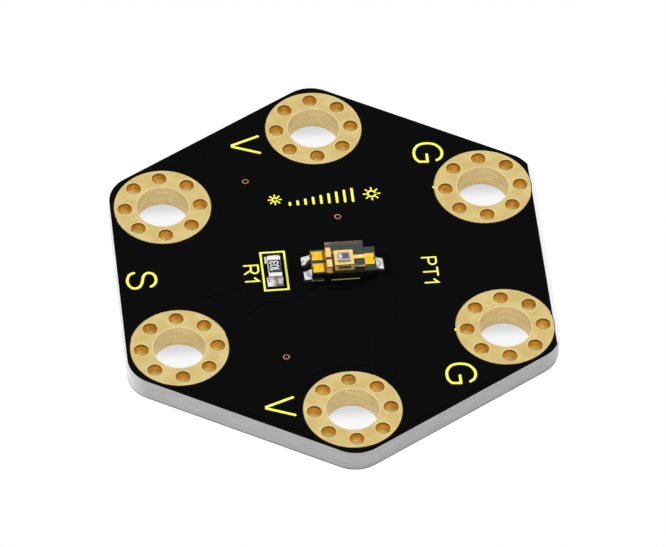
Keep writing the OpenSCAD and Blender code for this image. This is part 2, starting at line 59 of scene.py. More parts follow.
# Sizes in millimetres, taken over from the construction
MM = 0.001
CORE_TOP = 1.53  # the laminate, under the upper foil
FOIL_TOP = 1.575
BOARD_TOP = 1.6  # the black mask
SEAT = 1.62  # the height on which the sensor and the resistor sit
CARRIER_TOP = 2.05
CHIP_TOP = 2.28
MOULD_TOP = 2.70
INK_T = 0.015
INK_FOOT = 0.022
RING_REACH = 11.5008  # from the board's middle to a ring's
RING_R = 3.0
BORE_R = 1.6
SMALL_COUNT = 8
SMALL_REACH = 2.33  # from a ring's middle to a small hole's
SMALL_R = 0.46
SENSOR = (0.635, 0.01)
SENSOR_HALF = 2.0
CHIP = (0.665, 0.01)
CHIP_HALF = (0.38, 0.345)
BALL = (0.45, 0.01)  # the start of the bond wire
RESISTOR = (-3.605, -0.1)
RESISTOR_HALF = 0.8
MOULD = (-0.455, 1.885)  # the ends of the clear top, in x
LEFT_PADS = (-1.305, 0.50, -0.48, 0.38)  # start in x, two middles in y, half width
RIGHT_PAD = (1.955, 2.575, 0.01, 0.47)  # start and end in x, middle in y, half width


# ---------------------------------------------------------------- shaders


class Sock:
    """A shader socket that takes part in arithmetic."""

    def __init__(self, look, socket):
        self.look, self.socket = look, socket

    def math(self, operation, *others):
        return self.look.calc(operation, self, *others)

    def __add__(self, other):
        return self.math("ADD", other)

    def __radd__(self, other):
        return self.math("ADD", other)

    def __sub__(self, other):
        return self.math("SUBTRACT", other)

    def __rsub__(self, other):
        return self.look.calc("SUBTRACT", other, self)

    def __mul__(self, other):
        return self.math("MULTIPLY", other)

    def __rmul__(self, other):
        return self.math("MULTIPLY", other)

    def __abs__(self):
        return self.math("ABSOLUTE")


class Look:
    """One material, or the world, built node by node."""

    def __init__(self, name, kind=None):
        self.made = (bpy.data.materials if kind is None else kind).new(name)
        self.made.use_nodes = True
        self.tree = self.made.node_tree
        self.tree.nodes.clear()

    def add(self, kind, settings=None, inputs=None):
        """A node of this kind: its settings first, then its sockets' values or links."""
        node = self.tree.nodes.new(kind)
        for key, value in (settings or {}).items():
            setattr(node, key, value)
        for key, value in (inputs or {}).items():
            if isinstance(value, Sock):
                self.tree.links.new(value.socket, node.inputs[key])
            elif isinstance(value, (tuple, list)) and len(value) == 3:
                colour = node.inputs[key].type == "RGBA"
                node.inputs[key].default_value = (*value, 1.0) if colour else value
            else:
                node.inputs[key].default_value = value
        return node

    def out(self, node, key=0):
        return Sock(self, node.outputs[key])

    def calc(self, operation, *values):
        node = self.add("ShaderNodeMath", {"operation": operation}, dict(enumerate(values)))
        return self.out(node)

    def place(self, scale=(1.0, 1.0, 1.0)):
        """A point's coordinates in millimetres, each times its scale."""
        coord = self.out(self.add("ShaderNodeTexCoord"), "Object")
        factor = tuple(s / MM for s in scale)
        node = self.add(
            "ShaderNodeVectorMath", {"operation": "MULTIPLY"}, {0: coord, 1: factor}
        )
        return self.out(node)

    def split(self, vector):
        node = self.add("ShaderNodeSeparateXYZ", None, {0: vector})
        return [self.out(node, k) for k in range(3)]

    def ring_place(self):
        """A point's place from the middle of its nearest ring, that ring's turn, and z."""
        x, y, z = self.split(self.place())
        turn = y.math("ARCTAN2", x)
        sector = math.pi / 6
        off = (turn - sector).math("WRAP", sector, -sector)
        reach = (x * x + y * y).math("SQRT")
        lx = reach * off.math("COSINE") - RING_REACH
        ly = reach * off.math("SINE")
        return lx, ly, turn - off, z

    def join(self, x, y, z):
        return self.out(self.add("ShaderNodeCombineXYZ", None, {0: x, 1: y, 2: z}))

    def noise(self, vector, scale, detail=2.0, roughness=0.5):
        node = self.add(
            "ShaderNodeTexNoise",
            {"noise_dimensions": "3D"},
            {"Vector": vector, "Scale": scale, "Detail": detail, "Roughness": roughness},
        )
        return self.out(node, "Fac")

    def ramp(self, value, low, high, to_low=0.0, to_high=1.0):
        """value taken from low..high to to_low..to_high, clamped and eased."""
        node = self.add(
            "ShaderNodeMapRange",
            {"interpolation_type": "SMOOTHSTEP"},
            {
                "Value": value,
                "From Min": low,
                "From Max": high,
                "To Min": to_low,
                "To Max": to_high,
            },
        )
        return self.out(node)

    def band(self, value, low, high, soft):
        """1 between low and high, falling to 0 over soft on each side."""
        return self.ramp(value, low - soft, low) * self.ramp(value, high + soft, high)

    def mix(self, factor, a, b):
        node = self.add(
            "ShaderNodeMix",
            {"data_type": "RGBA", "clamp_factor": True},
            {0: factor, 6: a, 7: b},
        )
        return self.out(node, 2)

    def blend(self, factor, a, b):
        """Shader a where the factor is 0, and shader b where it is 1."""
        return self.out(self.add("ShaderNodeMixShader", None, {0: factor, 1: a, 2: b}))

    def bump(self, height, strength, distance, normal=None):
        inputs = {"Height": height, "Strength": strength, "Distance": distance * MM}
        if normal is not None:
            inputs["Normal"] = normal
        return self.out(self.add("ShaderNodeBump", None, inputs))

    def surface(self, **inputs):
        named = {key.replace("_", " "): value for key, value in inputs.items()}
        node = self.add("ShaderNodeBsdfPrincipled", None, named)
        return self.out(node)

    def background_rays(self):
        """1 for rays that see the background: to the camera, off metal, through glass."""
        path = self.add("ShaderNodeLightPath")
        kinds = ("Is Camera Ray", "Is Glossy Ray", "Is Transmission Ray")
        camera, glossy, through = [self.out(path, kind) for kind in kinds]
        return camera.math("MAXIMUM", glossy).math("MAXIMUM", through)

    def finish(self, shader, output="ShaderNodeOutputMaterial"):
        self.add(output, None, {"Surface": shader})
        return self.made


def laminate_look():
    """Pale glass laminate with a sawn, streaky edge, dark in the gaps round the rings."""
    look = Look("laminate")
    fine = look.noise(look.place((0.25, 0.25, 9.0)), 2.2, 3.0)
    streak = look.noise(look.place((0.5, 0.5, 26.0)), 1.0, 2.0)
    cloud = look.noise(look.place(), 0.7, 2.0)
    shade = look.ramp(fine * 0.6 + streak * 0.4, 0.35, 0.65)
    tone = look.mix(shade, (0.39, 0.39, 0.385), (0.53, 0.53, 0.53))
    tone = look.mix(look.ramp(cloud, 0.4, 0.7) * 0.35, tone, (0.45, 0.445, 0.42))
    z = look.split(look.place())[2]
    gap_floor = look.ramp(z, CORE_TOP - 0.004, CORE_TOP + 0.004)
    tone = look.mix(gap_floor, tone, (0.05, 0.035, 0.015))
    normal = look.bump(fine * 0.5 + streak * 0.5, 0.5, 0.02)
    return look.finish(
        look.surface(
            Base_Color=tone, Roughness=0.7, Specular_IOR_Level=0.25, Normal=normal
        )
    )


MASK_END = 12.96  # the black ends here on the right, a little inside the board's edge


def mask_look():
    """Black solder mask with a bare, pale strip along the right edge."""
    look = Look("mask")
    cloud = look.noise(look.place(), 0.35, 3.0)
    orange_peel = look.noise(look.place(), 2.5, 2.0)
    tone = look.mix(cloud, (0.0018, 0.0018, 0.0019), (0.0026, 0.0026, 0.0027))
    x = look.split(look.place())[0]
    bare = look.ramp(x, MASK_END - 0.02, MASK_END + 0.02)
    tone = look.mix(bare, tone, (0.60, 0.61, 0.63))
    rough = look.ramp(cloud, 0.3, 0.7, 0.16, 0.22)
    normal = look.bump(orange_peel, 0.05, 0.05)
    return look.finish(
        look.surface(
            Base_Color=tone, Roughness=rough, Specular_IOR_Level=0.01, Normal=normal
        )
    )


def gold_look():
    """Plated rings: painted highlights on the rims, a streaky wall in the large hole, small
    holes with painted shade near the top and painted light lower down.
    """
    look = Look("ring_gold")
    lx, ly, turn, z = look.ring_place()
    r = (lx * lx + ly * ly).math("SQRT")
    around = ly.math("ARCTAN2", lx) + turn
    half_step = math.pi / SMALL_COUNT
    small = around.math("WRAP", half_step, -half_step)
    sx = r * small.math("COSINE") - SMALL_REACH
    sy = r * small.math("SINE")
    s = (sx * sx + sy * sy).math("SQRT")

    patch = look.noise(look.place(), 1.1, 3.0)
    grain = look.noise(look.place(), 26.0, 3.0, 0.65)
    tone = look.mix(
        look.ramp(patch, 0.35, 0.65), (0.69, 0.52, 0.20), (0.75, 0.61, 0.26)
    )
    tone = look.mix(look.ramp(grain, 0.5, 0.72) * 0.25, tone, (0.78, 0.67, 0.36))

    streaks = look.noise(look.join(around * 1.5, r, z * 26.0), 1.0, 5.0, 0.7)
    bore = look.ramp(r, BORE_R + 0.012, BORE_R + 0.004)
    wall = look.mix(
        look.ramp(streaks, 0.38, 0.62), (0.64, 0.455, 0.165), (0.90, 0.70, 0.31)
    )
    scorch = look.noise(look.join(around * 2.0, r, z * 6.0), 1.3, 4.0, 0.7)
    wall = look.mix(look.ramp(scorch, 0.5, 0.7) * 0.6, wall, (0.48, 0.32, 0.12))
    tone = look.mix(bore, tone, wall)

    # painted highlights on the rings' outer rims and on the rims of the large and small
    # holes
    rims = look.band(r, RING_R - 0.05, RING_R + 0.1, 0.04) * 0.5
    rims = rims.math("MAXIMUM", look.band(r, BORE_R + 0.014, BORE_R + 0.06, 0.03))
    rims = rims.math("MAXIMUM", look.band(s, SMALL_R + 0.006, SMALL_R + 0.05, 0.03))
    tone = look.mix(rims * 0.6, tone, (0.90, 0.77, 0.46))

    hole = look.ramp(s, SMALL_R + 0.01, SMALL_R + 0.002)
    # painted light, paler lower down in each small hole, and painted shade, dark just under
    # its rim, with stains over both
    painted_light_below = look.ramp(z, 1.2, 0.7)
    painted_shade_at_mouth = look.ramp(z, 1.3, 1.5)
    hole_stain_and_painted_shading = look.mix(painted_light_below, (0.95, 0.50, 0.02), (1.0, 0.92, 0.40))
    hole_stain_and_painted_shading = look.mix(painted_shade_at_mouth * 0.9, hole_stain_and_painted_shading, (0.20, 0.09, 0.005))
    stain = look.ramp(look.noise(look.place(), 2.6, 3.0), 0.42, 0.62)
    stain = stain * look.ramp(z, 0.6, 1.1, 0.15, 0.6)
    hole_stain_and_painted_shading = look.mix(stain, hole_stain_and_painted_shading, (0.52, 0.25, 0.01))
    tone = look.mix(hole, tone, hole_stain_and_painted_shading)

    rough = look.ramp(grain, 0.3, 0.7, 0.44, 0.54)
    normal = look.bump(grain, 0.22, 0.02)
    normal = look.bump(streaks * bore, 0.4, 0.03, normal)
    metal = 1.0 - hole * 0.75
    return look.finish(
        look.surface(Base_Color=tone, Metallic=metal, Roughness=rough, Normal=normal)
    )


def copper_look(name, low, high):
    """Bare copper, plated in the openings round the rings."""
    look = Look(name)
    patch = look.noise(look.place(), 3.0, 3.0)
    grain = look.noise(look.place(), 40.0, 2.0)
    tone = look.mix(look.ramp(patch, 0.35, 0.65), low, high)
    lx, ly = look.ring_place()[:2]
    plated = look.ramp((lx * lx + ly * ly).math("SQRT"), RING_R + 0.10, RING_R + 0.05)
    tone = look.mix(plated, tone, (0.60, 0.46, 0.18))
    normal = look.bump(grain, 0.15, 0.01)
    return look.finish(
        look.surface(Base_Color=tone, Metallic=1.0, Roughness=0.38, Normal=normal)
    )


LINES_X, LINES_Y = (-0.6, 1.8), (-1.2, 1.2)  # the reach of the lines beside the sensor, which get a painted shadow


def print_look():
    """Yellow ink, with a painted shadow that darkens the narrow lines beside the sensor."""
    look = Look("print")
    speck = look.noise(look.place(), 9.0, 3.0)
    wear = look.noise(look.place(), 2.0, 2.0)
    tone = look.mix(
        look.ramp(speck, 0.35, 0.7), (0.78, 0.77, 0.10), (0.68, 0.67, 0.07)
    )
    tone = look.mix(look.ramp(wear, 0.6, 0.8) * 0.2, tone, (0.55, 0.53, 0.06))
    x, y = look.split(look.place())[:2]
    # painted shadow on the narrow lines beside the sensor
    painted_shadow_lines = look.band(y, *LINES_Y, 0.05) * look.band(x, *LINES_X, 0.1)
    tone = look.mix(painted_shadow_lines, tone, (0.26, 0.25, 0.07))
    normal = look.bump(speck, 0.2, 0.01)
    return look.finish(
        look.surface(
            Base_Color=tone, Roughness=0.55, Specular_IOR_Level=0.3, Normal=normal
        )
    )


def white_ink_look():
    """The resistor's printed code."""
    look = Look("white_ink")
    speck = look.noise(look.place(), 14.0, 3.0)
    tone = look.mix(look.ramp(speck, 0.4, 0.7), (0.68, 0.69, 0.70), (0.48, 0.49, 0.51))
    return look.finish(look.surface(Base_Color=tone, Roughness=0.5))


NEAR_EDGE = (-0.84, -0.92)  # towards this y the carrier's top turns dark


def carrier_look():
    """The sensor's dark laminate, wet-looking under the clear top and on its near edge,
    with near-black sides as painted shade.
    """
    look = Look("carrier")
    weave = look.noise(look.place((6.0, 6.0, 3.0)), 1.0, 3.0)
    cut = look.noise(look.place((1.0, 1.0, 20.0)), 1.0, 2.0)
    x, y, z = look.split(look.place())
    threads = look.ramp(weave, 0.3, 0.7)
    top = look.mix(threads, (0.026, 0.030, 0.028), (0.052, 0.058, 0.055))
    sawn = look.ramp(cut, 0.3, 0.7)
    # painted shade: the sides are near-black, far darker than the top
    side = look.mix(sawn, (0.003, 0.003, 0.002), (0.007, 0.006, 0.004))
    wet = look.mix(threads, (0.002, 0.002, 0.002), (0.006, 0.006, 0.006))
    top = look.mix(look.band(x, *MOULD, 0.005), top, wet)
    top = look.mix(look.ramp(y, *NEAR_EDGE), top, wet)
    tone = look.mix(look.ramp(z, CARRIER_TOP - 0.02, CARRIER_TOP - 0.002), side, top)
    normal = look.bump(weave * 0.6 + cut * 0.4, 0.3, 0.015)
    return look.finish(
        look.surface(
            Base_Color=tone, Roughness=0.6, Specular_IOR_Level=0.1, Normal=normal
        )
    )


PAD_RIM = (0.045, 0.015)  # a lead's dark rim fades over this distance from its edge


def lead_look():
    """Gold leads: dark rims on the pads, a shaded band by the clear top, and a painted
    highlight that makes the wire pale.
    """
    look = Look("lead_gold")
    patch = look.noise(look.place(), 5.0, 3.0)
    grain = look.noise(look.place(), 45.0, 2.0)
    tone = look.mix(
        look.ramp(patch, 0.35, 0.65), (0.93, 0.52, 0.025), (0.97, 0.66, 0.05)
    )
    x, y, z = look.split(look.place())
    tone = look.mix(look.band(x, *MOULD, 0.005) * 0.6, tone, (1.0, 0.78, 0.22))
    start, high, low, half = LEFT_PADS
    across = abs(y - high).math("MINIMUM", abs(y - low))
    rim = look.ramp((x - start).math("MINIMUM", half - across), *PAD_RIM)
    rim = rim * look.ramp(x, MOULD[0], MOULD[0] - 0.01)
    start, end, middle, half = RIGHT_PAD
    inside = (end - x).math("MINIMUM", half - abs(y - middle))
    rim = rim + look.ramp(inside, *PAD_RIM) * look.ramp(x, start, start + 0.01)
    tone = look.mix(rim, tone, (0.22, 0.20, 0.03))
    # painted highlight: the bond wire and its ball are turned near white
    wire = look.ramp(z, CHIP_TOP + 0.005, CHIP_TOP + 0.01)
    tone = look.mix(wire, tone, (0.97, 0.93, 0.86))
    shade = look.band(x, MOULD[0] - 0.15, MOULD[0] - 0.015, 0.015)
    streak = look.band(x, MOULD[0] - 0.09, MOULD[0] - 0.075, 0.012)
    shade = shade - streak * look.ramp(look.noise(look.place(), 7.0), 0.4, 0.6) * 0.7
    tone = look.mix(shade, tone, (0.24, 0.075, 0.008))
    rough = look.ramp(grain, 0.3, 0.7, 0.40, 0.50)
    normal = look.bump(grain, 0.2, 0.01)
    return look.finish(
        look.surface(Base_Color=tone, Metallic=1.0, Roughness=rough, Normal=normal)
    )


CHIP_RIM = (0.27, 0.07, 0.14, 0.09)  # the paler rim: left, right, near and far


def chip_look():
    """A dark field inside a paler rim, with a small pad where the wire starts."""
    look = Look("chip")
    x, y, z = look.split(look.place())
    left = x - (CHIP[0] - CHIP_HALF[0] + CHIP_RIM[0])
    right = (CHIP[0] + CHIP_HALF[0] - CHIP_RIM[1]) - x
    near = y - (CHIP[1] - CHIP_HALF[1] + CHIP_RIM[2])
    far = (CHIP[1] + CHIP_HALF[1] - CHIP_RIM[3]) - y
    inside = left.math("MINIMUM", right).math("MINIMUM", near.math("MINIMUM", far))
    rim = look.ramp(inside, 0.01, -0.01)
    fine = look.noise(look.place(), 18.0, 3.0)
    dark = look.mix(fine, (0.040, 0.036, 0.070), (0.075, 0.065, 0.125))
    pale = look.mix(fine, (0.34, 0.31, 0.40), (0.48, 0.45, 0.52))
    tone = look.mix(rim, dark, pale)
    px = x - BALL[0]
    py = y - BALL[1]
    pad = look.ramp((px * px + py * py).math("SQRT"), 0.10, 0.08)
    tone = look.mix(pad, tone, (0.95, 0.95, 0.94))
    side = look.ramp(z, CHIP_TOP - 0.005, CHIP_TOP - 0.015)
    tone = look.mix(side, tone, (0.012, 0.010, 0.012))
    return look.finish(
        look.surface(
            Base_Color=tone, Roughness=0.22, Specular_IOR_Level=0.7, Metallic=0.35
        )
    )


DARK_BOARD_AND_REFLECTION = (0.02, 0.02, 0.02)  # the dark board's tone where a pad shows past its solder, also a painted reflection of the board in the solder


def solder_look():
    """Bright, lumpy solder, dark where the joints are smaller than their pads, and with a
    painted reflection of the dark board on the sensor's upper left joint.
    """
    look = Look("solder")
    lump = look.noise(look.place(), 6.0, 3.0)
    grain = look.noise(look.place(), 30.0, 3.0, 0.6)
    tone = look.mix(look.ramp(lump, 0.3, 0.7), (0.74, 0.74, 0.75), (0.93, 0.93, 0.93))
    x, y = look.split(look.place())[:2]
    spots = look.noise(look.place(), 5.0, 3.0)
    tone = look.mix(look.ramp(spots, 0.50, 0.62) * 0.75, tone, (0.22, 0.22, 0.22))

    # painted reflection of the dark board on the lower part of the sensor's upper left
    # joint, by the gap between its two left joints; and left of the resistor
    by_sensor = look.ramp(x, -2.4, -2.3)
    slope = y - 0.85 * (x + 1.70).math("MAXIMUM", 0.0)
    gap = look.band(slope, -0.40, 0.18, 0.05) * look.ramp(y, -0.36, -0.31)
    gap = gap * look.ramp(x, -1.33, -1.38) * by_sensor
    flank = look.band(y, 0.2, 0.55, 0.05) * look.ramp(x, -3.95, -4.0)
    tone = look.mix(gap + flank, tone, DARK_BOARD_AND_REFLECTION)

    # a dull wedge and corner on the resistor's lower joint
    middle = RESISTOR[0]
    wedge = look.band(x, middle + 0.02, middle + 0.12, 0.10) * look.ramp(y, -0.9, -1.0)
    corner = look.ramp(x, middle, middle + 0.2) * look.ramp(y, -1.12, -1.2)
    dull = (wedge + corner * 1.2) * look.ramp(x, -2.8, -3.0)
    tone = look.mix(dull * 0.8, tone, (0.16, 0.16, 0.16))

    # the outer rims of the sensor's right and lower left joints
    past_right = look.ramp(y, -0.45, -0.50) + look.ramp(x, 3.08, 3.12)
    past_right = look.ramp(x, 2.62, 2.66) * past_right
    past_left = look.ramp(y, -0.96, -1.01) + look.ramp(x, -1.80, -1.85)
    past_left = past_left * look.ramp(x, -1.37, -1.41) * look.ramp(y, -0.3, -0.36)
    tone = look.mix(past_right + past_left * by_sensor, tone, DARK_BOARD_AND_REFLECTION)

    rough = look.ramp(grain, 0.3, 0.7, 0.24, 0.42)
    normal = look.bump(lump, 0.35, 0.05)
    normal = look.bump(grain, 0.25, 0.012, normal)
    return look.finish(
        look.surface(Base_Color=tone, Metallic=1.0, Roughness=rough, Normal=normal)
    )


END_TOP = 2.06  # the top of the resistor's caps, brighter than their sides as painted light


def tin_look():
    """The resistor's tinned caps, brighter on top as painted light."""
    look = Look("resistor_ends")
    grain = look.noise(look.place(), 22.0, 3.0, 0.6)
    z = look.split(look.place())[2]
    # painted light and shade: one tin as a darker copy on the sides and a brighter copy on
    # top
    side = look.mix(grain, (0.68, 0.65, 0.58), (0.86, 0.83, 0.75))
    top = look.mix(grain, (0.86, 0.85, 0.85), (0.98, 0.98, 0.98))
    tone = look.mix(look.ramp(z, END_TOP - 0.01, END_TOP + 0.005), side, top)
    normal = look.bump(grain, 0.3, 0.015)
    return look.finish(
        look.surface(Base_Color=tone, Metallic=1.0, Roughness=0.36, Normal=normal)
    )


def ceramic_look():
    """The resistor's pale body."""
    look = Look("resistor_ceramic")
    grain = look.noise(look.place(), 20.0, 3.0)
    tone = look.mix(grain, (0.26, 0.26, 0.22), (0.36, 0.36, 0.31))
    return look.finish(look.surface(Base_Color=tone, Roughness=0.6))


def film_look():
    """The resistor's dark film, under its glaze."""
    look = Look("resistor_film")
    grain = look.noise(look.place(), 16.0, 3.0)
    tone = look.mix(grain, (0.05, 0.045, 0.05), (0.09, 0.085, 0.09))
    return look.finish(look.surface(Base_Color=tone, Roughness=0.5))


def glaze_look():
    """The resistor's black, glossy top."""
    look = Look("resistor_glaze")
    grain = look.noise(look.place(), 8.0, 3.0)
    tone = look.mix(grain, (0.010, 0.010, 0.012), (0.022, 0.022, 0.026))
    normal = look.bump(grain, 0.1, 0.02)
    return look.finish(
        look.surface(
            Base_Color=tone, Roughness=0.25, Specular_IOR_Level=0.5, Normal=normal
        )
    )


SAWN_FROM = (0.97, 0.99)  # beyond this y the clear top shows its sawn far side


def clear_look():
    """Clear, slightly smoky plastic. Light from the lamps passes straight through."""
    look = Look("clear_top")
    swirl = look.noise(look.place(), 3.0, 2.0)
    grain = look.noise(look.place((1.0, 1.0, 3.0)), 12.0, 3.0)
    y, z = look.split(look.place())[1:]
    tint = look.mix(swirl, (0.80, 0.78, 0.74), (0.86, 0.84, 0.80))
    below = look.ramp(z, MOULD_TOP - 0.006, MOULD_TOP - 0.014)
    sawn = look.ramp(y, *SAWN_FROM) * below
    glass = look.surface(
        Base_Color=look.mix(sawn, tint, (0.30, 0.24, 0.21)),
        Roughness=sawn * look.ramp(grain, 0.3, 0.7, 0.35, 0.6) + 0.03,
        IOR=1.5,
        Transmission_Weight=0.985,
    )
    dull = look.surface(Base_Color=(0.085, 0.075, 0.072), Roughness=0.6)
    glass = look.blend(sawn * 0.6, glass, dull)
    path = look.add("ShaderNodeLightPath")
    shadow, diffuse = look.out(path, "Is Shadow Ray"), look.out(path, "Is Diffuse Ray")
    clear = look.out(
        look.add("ShaderNodeBsdfTransparent", None, {"Color": (0.82, 0.80, 0.76)})
    )
    return look.finish(look.blend(shadow.math("MAXIMUM", diffuse), glass, clear))


LOOKS = {
    "laminate": laminate_look(),
    "mask": mask_look(),
    "foil": copper_look("foil", (0.72, 0.40, 0.22), (0.82, 0.50, 0.30)),
    "print": print_look(),
    "ring_gold": gold_look(),
    "via_copper": copper_look("via_copper", (0.46, 0.24, 0.14), (0.66, 0.38, 0.24)),
    "carrier": carrier_look(),
    "clear_top": clear_look(),
    "lead_gold": lead_look(),
    "chip": chip_look(),
    "solder": solder_look(),
    "resistor_ceramic": ceramic_look(),
    "resistor_film": film_look(),
    "resistor_glaze": glaze_look(),
    "resistor_ends": tin_look(),
}
WHITE_INK = white_ink_look()

for part in frame["record"]["subparts"]:
    node = frame["nodes"][part["node"]]
    node.data.materials.clear()
    node.data.materials.append(LOOKS[part["material_slot"]])


# ---------------------------------------------------------------- pieces


CREASE = math.radians(35)  # edges sharper than this stay sharp


def piece(name, bm, slot, material=None, smooth=True):
    """An object of the mesh, which is in millimetres. It rides on the board."""
    bmesh.ops.recalc_face_normals(bm, faces=bm.faces)
    bmesh.ops.scale(bm, vec=(MM, MM, MM), verts=bm.verts)
    mesh = bpy.data.meshes.new(name)
    bm.to_mesh(mesh)
    bm.free()
    if smooth:
        mesh.shade_smooth()
        mesh.set_sharp_from_angle(angle=CREASE)
    obj = bpy.data.objects.new(name, mesh)
    bpy.context.collection.objects.link(obj)
    mesh.materials.append(material or LOOKS[slot])
    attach(obj, "root")
    return obj


END_TURNS = (8, 30, 55, 80)  # degrees round a stroke's end at which it is cut
MITRE_LIMIT = 0.3


def sections(points, width):
    """Cross-sections of a round-ended pen stroke: (point, direction, half width)."""
    points = [Vector(p) for p in points]
    half = width / 2
    first = (points[1] - points[0]).normalized()
    last = (points[-1] - points[-2]).normalized()
    out = []
    turns = [math.radians(a) for a in END_TURNS]
    for a in turns:
        out.append((points[0] - first * half * math.cos(a), first, half * math.sin(a)))
    for i, p in enumerate(points):
        before = (p - points[i - 1]).normalized() if i else first
        after = (points[i + 1] - p).normalized() if i + 1 < len(points) else last
        way = (before + after).normalized()
        out.append((p, way, half / max(way.dot(after), MITRE_LIMIT)))
    for a in reversed(turns):
        out.append((points[-1] + last * half * math.cos(a), last, half * math.sin(a)))
    return out


def pen(bm, points, width, low, high):
    """One printed stroke: an edge swept along the points, then raised into a thin slab."""
    edge = None
    faces = []
    for spot, way, half in sections(points, width):
        side = Vector((-way.y, way.x)) * half
        ends = [(*(spot + side), low), (*(spot - side), low)]
        if edge is None:
            edge = bm.edges.new([bm.verts.new(p) for p in ends])
            continue
        done = bmesh.ops.extrude_edge_only(bm, edges=[edge])["geom"]
        new_verts = [v for v in done if isinstance(v, bmesh.types.BMVert)]
        edge = next(
            e
            for e in done
            if isinstance(e, bmesh.types.BMEdge) and set(e.verts) == set(new_verts)
        )
        new_verts.sort(key=lambda v: (v.co.xy - spot).dot(side), reverse=True)
        for v, p in zip(new_verts, ends):
            v.co = p
        faces += [f for f in done if isinstance(f, bmesh.types.BMFace)]
    raised = bmesh.ops.extrude_face_region(bm, geom=faces)["geom"]
    verts = [v for v in raised if isinstance(v, bmesh.types.BMVert)]
    bmesh.ops.translate(bm, verts=verts, vec=(0, 0, high - low))


def arc(cu, cv, ru, rv, start, end, steps):
    """Points round an ellipse, from start to end in degrees."""
    angles = [math.radians(start + (end - start) * k / steps) for k in range(steps + 1)]
    return [(cu + ru * math.cos(a), cv + rv * math.sin(a)) for a in angles]


def between(a, b, c, d, t):
    """A smooth step from b to c, with a and d as its neighbours."""
    bend = (2 * a - 5 * b + 4 * c - d) * t * t
    return 0.5 * (2 * b + (c - a) * t + bend + (3 * b - a - 3 * c + d) * t**3)


def spline(points, steps=4):
    """A smooth line through the points."""
    p = [points[0], *points, points[-1]]
    out = []
    for i in range(1, len(p) - 2):
        for k in range(steps):
            ends = zip(p[i - 1], p[i], p[i + 1], p[i + 2])
            out.append(tuple(between(*axis, k / steps) for axis in ends))
    return out + [points[-1]]


G_CURVE = spline(
    [
        (0.83, 0.78), (0.735, 0.915), (0.56, 0.995), (0.355, 0.99), (0.165, 0.885),
        (0.052, 0.745), (0.0, 0.545), (0.005, 0.355), (0.078, 0.175), (0.247, 0.043),
        (0.437, 0.0), (0.63, 0.012), (0.77, 0.075), (0.855, 0.152),
    ]
)
S_CURVE = spline(
    [
        (0.0, 0.26), (0.0625, 0.12), (0.216, 0.028), (0.392, 0.0), (0.557, 0.045),
        (0.682, 0.142), (0.716, 0.256), (0.676, 0.38), (0.551, 0.477), (0.364, 0.534),
        (0.182, 0.58), (0.0625, 0.676), (0.04, 0.807), (0.125, 0.9375), (0.295, 1.0),
        (0.477, 0.983), (0.614, 0.892), (0.67, 0.80),
    ]
)

STEM = [(0, 0), (0, 1)]

# Each letter: its width and its pen strokes, with a cap height of 1.
# I is the narrow figure one on the resistor.
LETTERS = {
    "V": (0.84, [[(0.0, 0.975), (0.365, 0.0), (0.435, 0.0), (0.82, 0.975)]]),
    "G": (0.90, [G_CURVE + [(0.88, 0.445)], [(0.88, 0.445), (0.53, 0.45)]]),
    "S": (0.72, [S_CURVE]),
    "R": (
        0.78,
        [
            STEM,
            [(0, 1), (0.48, 1)] + arc(0.48, 0.735, 0.276, 0.265, 80, -80, 10) + [(0, 0.47)],
            [(0.44, 0.47), (0.78, 0)],
        ],
    ),
    "P": (
        0.68,
        [
            STEM,
            [(0, 1), (0.42, 1)] + arc(0.42, 0.73, 0.26, 0.27, 80, -80, 10) + [(0, 0.46)],
        ],
    ),
    "T": (0.74, [[(0, 1), (0.74, 1)], [(0.37, 1), (0.37, 0)]]),
    "1": (0.34, [[(0.34, 0), (0.34, 0.94), (0.04, 0.67)]]),
    "I": (0.20, [[(0.16, 0), (0.16, 1), (0.0, 0.84)]]),
    "0": (0.46, [arc(0.23, 0.5, 0.23, 0.5, 90, 452, 20)]),
    "3": (
        0.44,
        [
            arc(0.21, 0.76, 0.21, 0.24, 160, -90, 12) + [(0.10, 0.52)],
            [(0.10, 0.52)] + arc(0.21, 0.26, 0.23, 0.26, 90, -160, 14),
        ],
    ),
}
LETTER_GAP = 0.28
STROKE_STEP = 0.0006  # each further stroke is this much thicker: no two faces coincide


def write(
    name, text, corner, cap, width, axes, heights, slot, material=None, gap=LETTER_GAP
):
    """Prints the text from its lower left corner, along the first of its two axes."""
    bm = bmesh.new()
    (along_x, along_y), (up_x, up_y) = axes
    low, high = heights
    at = 0.0
    for letter in text:
        wide, strokes = LETTERS[letter]
        for number, stroke in enumerate(strokes):
            apart = number * STROKE_STEP
            spots = [
                (
                    corner[0] + cap * ((at + u) * along_x + v * up_x),
                    corner[1] + cap * ((at + u) * along_y + v * up_y),
                )
                for u, v in stroke
            ]
            pen(bm, spots, width, low - apart, high + apart)
        at += wide + gap
    return piece(name, bm, slot, material)


UP, DOWN, LEFT, RIGHT = (0, 1), (0, -1), (-1, 0), (1, 0)
INK = (BOARD_TOP - INK_FOOT, BOARD_TOP + INK_T)
BIG, SMALL = 0.17, 0.115  # pen widths

